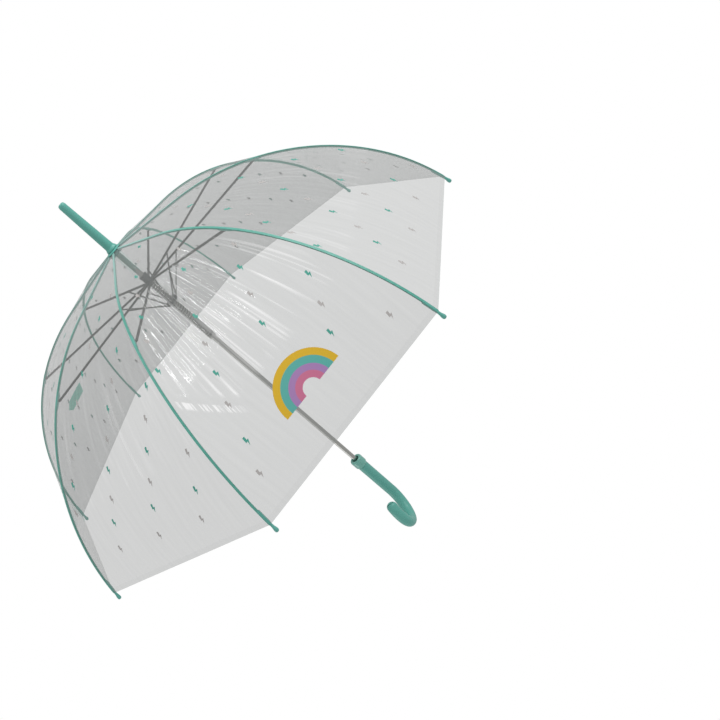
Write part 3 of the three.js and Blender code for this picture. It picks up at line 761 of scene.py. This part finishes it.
def pleats(arc, across, y, gore, seed):
    """Long pleats that fan out from the crown, and end on one side of the gore at a slanting fold."""
    end = min(PLEATS_TO, FOLD_AT - PLEATS_TO_FOLD + FOLD_SLOPE * y)
    window = fade(arc, PLEATS_FROM, PLEATS_FROM + PLEATS_FADE_IN)
    window *= 1 - fade(arc, end - PLEATS_FADE_OUT, end)
    if not window > 0:
        return 0.0
    lift = 0.0
    fan = across * PLEAT_FAN
    for i, (spacing, height) in enumerate(PLEAT_WAVES):
        # each set of straight lines swells and dies away along the gore, so its ends are pointed
        swell = noise.noise(Vector((fan / SWELL_ACROSS, arc / SWELL_ALONG, seed + 3.1 * i)))
        lift += height * (0.35 + 1.1 * max(swell, 0)) * math.sin(2 * math.pi * fan / spacing + seed + i)
    middle = 0.3 + 0.7 * (1 - fade(across, 0.25, 0.8))
    return lift * window * PLEAT_STRENGTH[gore] * middle


def crease(arc, across, y, seed):
    """One short crease across the near half of the front gore, gathered into ticks."""
    off = (arc - FOLD_AT - FOLD_SLOPE * y) / CREASE_WIDTH
    if abs(off) >= FAR_OFF:
        return 0.0
    near = fade(across, -1.0, -0.85) * (1 - fade(across, -0.5, -0.3))
    ticks = 0.5 + 0.9 * abs(noise.noise(Vector((y / (5 * MM), 0.3, seed + 3))))
    return near * math.exp(-off * off) * CREASE_HEIGHT * ticks


def ripple(arc, across, gore, half):
    """How far the film stands off its drawn shape: pleats, slack, a crease and puckers beside the seams."""
    y = across * half
    seed = 13.7 * gore
    lift = pleats(arc, across, y, gore, seed)
    slack = noise.noise(Vector((y / SLACK_ACROSS, arc / SLACK_ALONG, seed + 9)))
    lift += SLACK * slack * fade(arc, SLACK_FROM, SLACK_TO)
    if gore == 0:
        lift += crease(arc, across, y, seed)
    edge = (1 - abs(across)) * half / PUCKER_WIDTH
    if edge < FAR_OFF:
        pucker = noise.noise(Vector((arc / PUCKER_LENGTH, math.copysign(3, across), seed + 7)))
        lift += math.exp(-edge * edge) * PUCKER_HEIGHT * pucker
    return lift * (1 - abs(across) ** 3) * fade(arc, 5 * MM, 40 * MM)


def film_point(arc, across, gore, proud=0.0):
    """A point of the film in its gore's upright middle plane. across runs from -1 to 1 between the ribs."""
    half = half_gore(arc)
    off = FILM_LIFT + proud + (ripple(arc, across, gore, half) if abs(across) < 1 else 0)
    x, z, _ = rib_point(arc, off, SQUEEZE)
    return Vector((x, across * half, z))


def gore_turn(gore):
    return (2 * gore + 1) * HALF_PITCH


def fold_with_gore(piece, gore, end):
    """The piece moves with its gore's body, with a mesh of its own."""
    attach(piece, f"gore_{gore + 1}" + ("_end" if end else ""))
    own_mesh(piece)


def film_rows():
    """The arcs of a gore's rows, with one row on the flex of the ribs."""
    inner = round((FLEX_ARC - FILM_START) / GORE_STEP)
    outer = round((RIM_ARC - FLEX_ARC) / GORE_STEP)
    arcs = [FILM_START + (FLEX_ARC - FILM_START) * i / inner for i in range(inner)]
    return arcs + [FLEX_ARC + (RIM_ARC - FLEX_ARC) * i / outer for i in range(outer + 1)]


def make_gore(gore):
    """One gore: a grid laid on the rippled film surface, then parted where the ribs flex."""
    arcs = film_rows()
    bm = bmesh.new()
    bmesh.ops.create_grid(bm, x_segments=GORE_COLUMNS, y_segments=len(arcs) - 1, size=1)
    flat_map = bm.loops.layers.uv.new("film")
    pleat_map = bm.loops.layers.uv.new("pleats")
    spots = {}
    for v in bm.verts:
        row = round((v.co.y + 1) / 2 * (len(arcs) - 1))
        spots[v.index] = (arcs[row], min(max(v.co.x, -1), 1))
    for face in bm.faces:
        for loop in face.loops:
            arc, across = spots[loop.vert.index]
            loop[flat_map].uv = (across * half_gore(arc) + gore, arc)
            loop[pleat_map].uv = (across * PLEAT_FAN + gore, arc)
    place = spoke(gore_turn(gore))
    for v in bm.verts:
        v.co = place @ film_point(*spots[v.index], gore)
    # laid with its rows running outwards, the grid faces into the canopy
    bmesh.ops.reverse_faces(bm, faces=bm.faces[:])
    bm.normal_update()
    for end in (False, True):
        part_gore(bm, spots, gore, end)
    bm.free()


def part_gore(whole, spots, gore, end):
    """One half of a gore, with the whole gore's normals, so that its shading runs on over the parting."""
    half = whole.copy()
    half.verts.ensure_lookup_table()
    drop = [v for v in half.verts if (spots[v.index][0] < FLEX_ARC - 1e-7 if end
                                      else spots[v.index][0] > FLEX_ARC + 1e-7)]
    dropped = set(drop)
    normals = [v.normal.copy() for v in half.verts if v not in dropped]
    bmesh.ops.delete(half, geom=drop, context="VERTS")
    piece = new_piece(f"film_gore_{gore + 1}" + ("_end" if end else ""), half, film)
    piece.data.normals_split_custom_set_from_vertices(normals)
    fold_with_gore(piece, gore, end)
    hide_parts(f"gore_{'lower' if end else 'upper'}_{gore + 1}")
    declare_film(piece, *((FLEX_ARC, RIM_ARC) if end else (FILM_START, FLEX_ARC)))


def declare_film(piece, start, stop, steps=40):
    """Works out the gore's widths and middle line between two arcs, and does nothing more with them."""
    arcs = [start + (stop - start) * i / steps for i in range(steps + 1)]
    widths = [2 * half_gore(arc) for arc in arcs]
    middle = [rib_point(arc, 0, SQUEEZE) for arc in arcs]


# ---------------------------------------------------------------- prints
PRINT_PROUD = 0.25 * MM


def laid_print(name, gore, outline_faces, colour, end):
    """Ink on the film: faces given as (arc, sideways) points in metres, laid on the rippled film."""
    bm = bmesh.new()
    place = spoke(gore_turn(gore))
    for corners in outline_faces:
        ring = [place @ film_point(arc, y / half_gore(arc), gore, PRINT_PROUD) for arc, y in corners]
        bm.faces.new([bm.verts.new(point) for point in ring])
    bmesh.ops.remove_doubles(bm, verts=bm.verts, dist=0.01 * MM)
    bm.normal_update()
    outward = place.to_3x3() @ Vector((1, 0, 1))
    if sum(f.normal.dot(outward) for f in bm.faces) < 0:
        bmesh.ops.reverse_faces(bm, faces=bm.faces[:])
    fold_with_gore(new_piece(name, bm, INKS[colour]), gore, end)


# one plain bolt, drawn upright and 12 mm tall, in millimetres: a slanted bar, a step and a slanted bar
BOLT = ((-1.9, 6.0), (1.3, 6.0), (0.2, 1.1), (2.7, 1.1), (-1.9, -6.0), (-0.6, -0.9), (-2.9, -0.9))
BOLT_FACES = ((0, 1, 2, 6), (2, 3, 4, 5), (2, 5, 6))
BOLT_FIRST = 82 * MM
BOLT_ROW = 35 * MM  # rows of mint and white bolts by turns
BOLT_PITCH = 78 * MM
BOLT_SWAY = 6 * MM
BOLT_CLEAR = 7 * MM  # of the seams and of the parting
BOLT_RIM_CLEAR = 16 * MM

ARCH_ARC = 455 * MM  # the arch's middle, on the front gore
ARCH_SIDE = -4 * MM
ARCH_CLEAR = 62 * MM
ARCH_BANDS = (("yellow", 46.5, 37.7), ("teal", 37.7, 28.5), ("lilac", 28.5, 20.6), ("pink", 20.6, 12))


def bolt_faces(arc, y):
    return [[(arc - BOLT[i][1] * MM, y + BOLT[i][0] * MM) for i in face] for face in BOLT_FACES]


def arch_faces(outer, inner, steps=44, rings=3):
    faces = []
    for i in range(steps):
        for j in range(rings):
            r0 = (inner + (outer - inner) * j / rings) * MM
            r1 = (inner + (outer - inner) * (j + 1) / rings) * MM
            a0, a1 = math.pi * i / steps, math.pi * (i + 1) / steps
            faces.append([(ARCH_ARC - r * math.sin(a), ARCH_SIDE + r * math.cos(a))
                          for r, a in ((r0, a0), (r1, a0), (r1, a1), (r0, a1))])
    return faces


def bolt_places(gore, colour):
    """The staggered rows of one colour that fit on a gore, clear of its seams and of the arch."""
    places = []
    row = 0 if colour == "mint" else 1
    arc = BOLT_FIRST + row * BOLT_ROW
    while arc < RIM_ARC - BOLT_RIM_CLEAR:
        half = half_gore(arc) - BOLT_CLEAR
        # rows of one colour step by half a pitch, white rows stand a quarter back, and each gore starts anew
        shift = BOLT_PITCH * (0.25 + 0.5 * (row // 2 % 2) - 0.25 * (row % 2) + 0.21 * gore)
        for j in range(-4, 5):
            y = j * BOLT_PITCH + shift
            at = arc + BOLT_SWAY * math.sin(1.7 * j + 2.3 * gore)
            near_arch = gore == 0 and at > ARCH_ARC - ARCH_CLEAR and abs(y - ARCH_SIDE) < ARCH_CLEAR
            if abs(y) < half and not near_arch and abs(at - FLEX_ARC) > BOLT_CLEAR:
                places.append((at, y))
        arc += 2 * BOLT_ROW
        row += 2
    return places


def make_prints():
    for colour, outer, inner in ARCH_BANDS:
        laid_print(f"printed_arch_{colour}", 0, arch_faces(outer, inner), colour, True)
    for gore in range(RIBS):
        for colour in ("mint", "white"):
            places = bolt_places(gore, colour)
            for end in (False, True):
                faces = []
                for arc, y in places:
                    if (arc > FLEX_ARC) == end:
                        faces.extend(bolt_faces(arc, y))
                if faces:
                    laid_print(f"{colour}_bolts_{gore + 1}" + ("_end" if end else ""), gore, faces, colour,
                               end)


STRAP_GORE = 5
STRAP_ARC = 373 * MM
STRAP_HALF_WIDTH, STRAP_HALF_LENGTH = 11 * MM, 30 * MM
STRAP_PROUD, STRAP_WAVE, STRAP_THICK = 0.6 * MM, 0.2 * MM, 0.5 * MM
STRAP_POINT_FROM = 0.62  # how far along its half length the strap starts to narrow to its point


def make_strap():
    """The tie strap, a short band with a pointed end, lying on its gore."""
    place = spoke(gore_turn(STRAP_GORE))
    bm = bmesh.new()
    bmesh.ops.create_grid(bm, x_segments=24, y_segments=8, size=1)
    for v in bm.verts:
        along, wide = v.co.x, v.co.y
        narrow = 1 - 0.9 * fade(along, STRAP_POINT_FROM, 1.0)
        arc = STRAP_ARC + wide * STRAP_HALF_WIDTH * narrow
        across = along * STRAP_HALF_LENGTH / half_gore(arc)
        v.co = place @ film_point(arc, across, STRAP_GORE, STRAP_PROUD + STRAP_WAVE * math.cos(3 * along))
    bm.normal_update()
    bmesh.ops.solidify(bm, geom=bm.faces[:], thickness=STRAP_THICK)
    bmesh.ops.recalc_face_normals(bm, faces=bm.faces)
    piece = new_piece("tie_strap_band", bm, strap_pvc)
    fold_with_gore(piece, STRAP_GORE, True)
    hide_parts("tie_strap")


# ---------------------------------------------------------------- stage, lights and camera
STAGE_LEVEL = -1.1
STAGE_HALF = 12
STAGE_LIGHT = 0.5


def white_to_the_eye(owner, socket):
    """Plain white where it is looked at, and a softer grey as a light on the object."""
    look = add_node(owner, "ShaderNodeLightPath")
    level = add_node(owner, "ShaderNodeMapRange",
                     {"Value": look.outputs["Is Camera Ray"], "To Min": STAGE_LIGHT, "To Max": 1.0})
    owner.node_tree.links.new(level.outputs["Result"], socket)


def make_stage():
    """A floor well below the object and a plain surround, both evenly white."""
    # white acrylic floor, lit from below
    acrylic = new_material("white_acrylic_lit", "000000", 1.0, Emission_Color=linear("FFFFFF"),
                           Specular_IOR_Level=0)
    white_to_the_eye(acrylic, shader_of(acrylic).inputs["Emission Strength"])
    bm = bmesh.new()
    bmesh.ops.create_grid(bm, x_segments=1, y_segments=1, size=STAGE_HALF)
    bmesh.ops.translate(bm, vec=(0, 0, STAGE_LEVEL), verts=bm.verts)
    new_piece("studio_floor", bm, acrylic)
    world = bpy.data.worlds.new("studio_white")
    world.use_nodes = True
    sky = world.node_tree.nodes["Background"]
    sky.inputs["Color"].default_value = linear("FFFFFF")
    white_to_the_eye(world, sky.inputs["Strength"])
    bpy.context.scene.world = world
    bpy.context.scene.view_settings.view_transform = "Standard"


def add_light(name, place, turn, size, power):
    light = bpy.data.lights.new(name, "AREA")
    light.shape = "RECTANGLE"
    light.size, light.size_y = size
    light.energy = power
    lamp = bpy.data.objects.new(name, light)
    bpy.context.collection.objects.link(lamp)
    lamp.location = place
    lamp.rotation_euler = turn


def facing(place, aim):
    return (Vector(aim) - Vector(place)).to_track_quat("-Z", "Y").to_euler()


KEY_PLACE, KEY_SIZE, KEY_POWER = (-0.15, 1.85, 2.1), (1.8, 1.8), 32
CARD_PLACE, CARD_SIZE, CARD_POWER = (0.6, -1.4, -0.5), (0.9, 0.9), 2.8
TUBE_TURN = math.radians(15)  # the tubes run overhead, in line with the front gore
TUBE_HEIGHT = 2.2
TUBE_FORWARD = 0.08
TUBE_SIZE, TUBE_POWER = (1.85, 0.03), 2.2


def make_lights():
    # a wide softbox to the side gives the solid parts their roundness
    add_light("key_softbox", KEY_PLACE, facing(KEY_PLACE, (0, 0, 0.4)), KEY_SIZE, KEY_POWER)
    # a low card lights the near side of the bright stick
    add_light("low_card", CARD_PLACE, facing(CARD_PLACE, (0, 0, 0.2)), CARD_SIZE, CARD_POWER)
    # long thin tubes overhead draw the bright lines on the film's pleats
    along = Vector((math.cos(TUBE_TURN), math.sin(TUBE_TURN), 0))
    side = Vector((-along.y, along.x, 0))
    for name, offset in (("tube_right", 0.12), ("tube_left", -0.72)):
        place = along * TUBE_FORWARD + side * offset + Vector((0, 0, TUBE_HEIGHT))
        add_light(name, place, (0, 0, TUBE_TURN), TUBE_SIZE, TUBE_POWER)


CAMERA_AZIMUTH = math.radians(19.9)
CAMERA_HEIGHT = math.radians(26.1)
CAMERA_DISTANCE = 1.183
CAMERA_AIM = Vector((0.0648, -0.0354, 0.2432))
CAMERA_ROLL = math.radians(50.5)
CAMERA_LENS, CAMERA_SENSOR = 37.1, 36  # in millimetres
CAMERA_SHIFT = (0.1215, 0.099)


def make_camera():
    data = bpy.data.cameras.new("view")
    data.lens = CAMERA_LENS
    data.sensor_width = CAMERA_SENSOR
    data.shift_x, data.shift_y = CAMERA_SHIFT
    camera = bpy.data.objects.new("view", data)
    bpy.context.collection.objects.link(camera)
    out = Vector((math.cos(CAMERA_HEIGHT) * math.cos(CAMERA_AZIMUTH),
                  math.cos(CAMERA_HEIGHT) * math.sin(CAMERA_AZIMUTH), math.sin(CAMERA_HEIGHT)))
    turn = (-out).to_track_quat("-Z", "Y").to_matrix() @ Matrix.Rotation(-CAMERA_ROLL, 3, "Z")
    camera.matrix_world = Matrix.Translation(CAMERA_AIM + out * CAMERA_DISTANCE) @ turn.to_4x4()
    bpy.context.scene.camera = camera


make_camera()
make_stage()
make_lights()
make_handle()
make_collar()
make_button()
make_shaft()
make_ferrule()
make_crown_cap()
make_hubs()
make_spring()
make_ribs()
make_stretchers()
make_piping()
make_connectors()
make_tips()
for gore_index in range(RIBS):
    make_gore(gore_index)
make_prints()
make_strap()
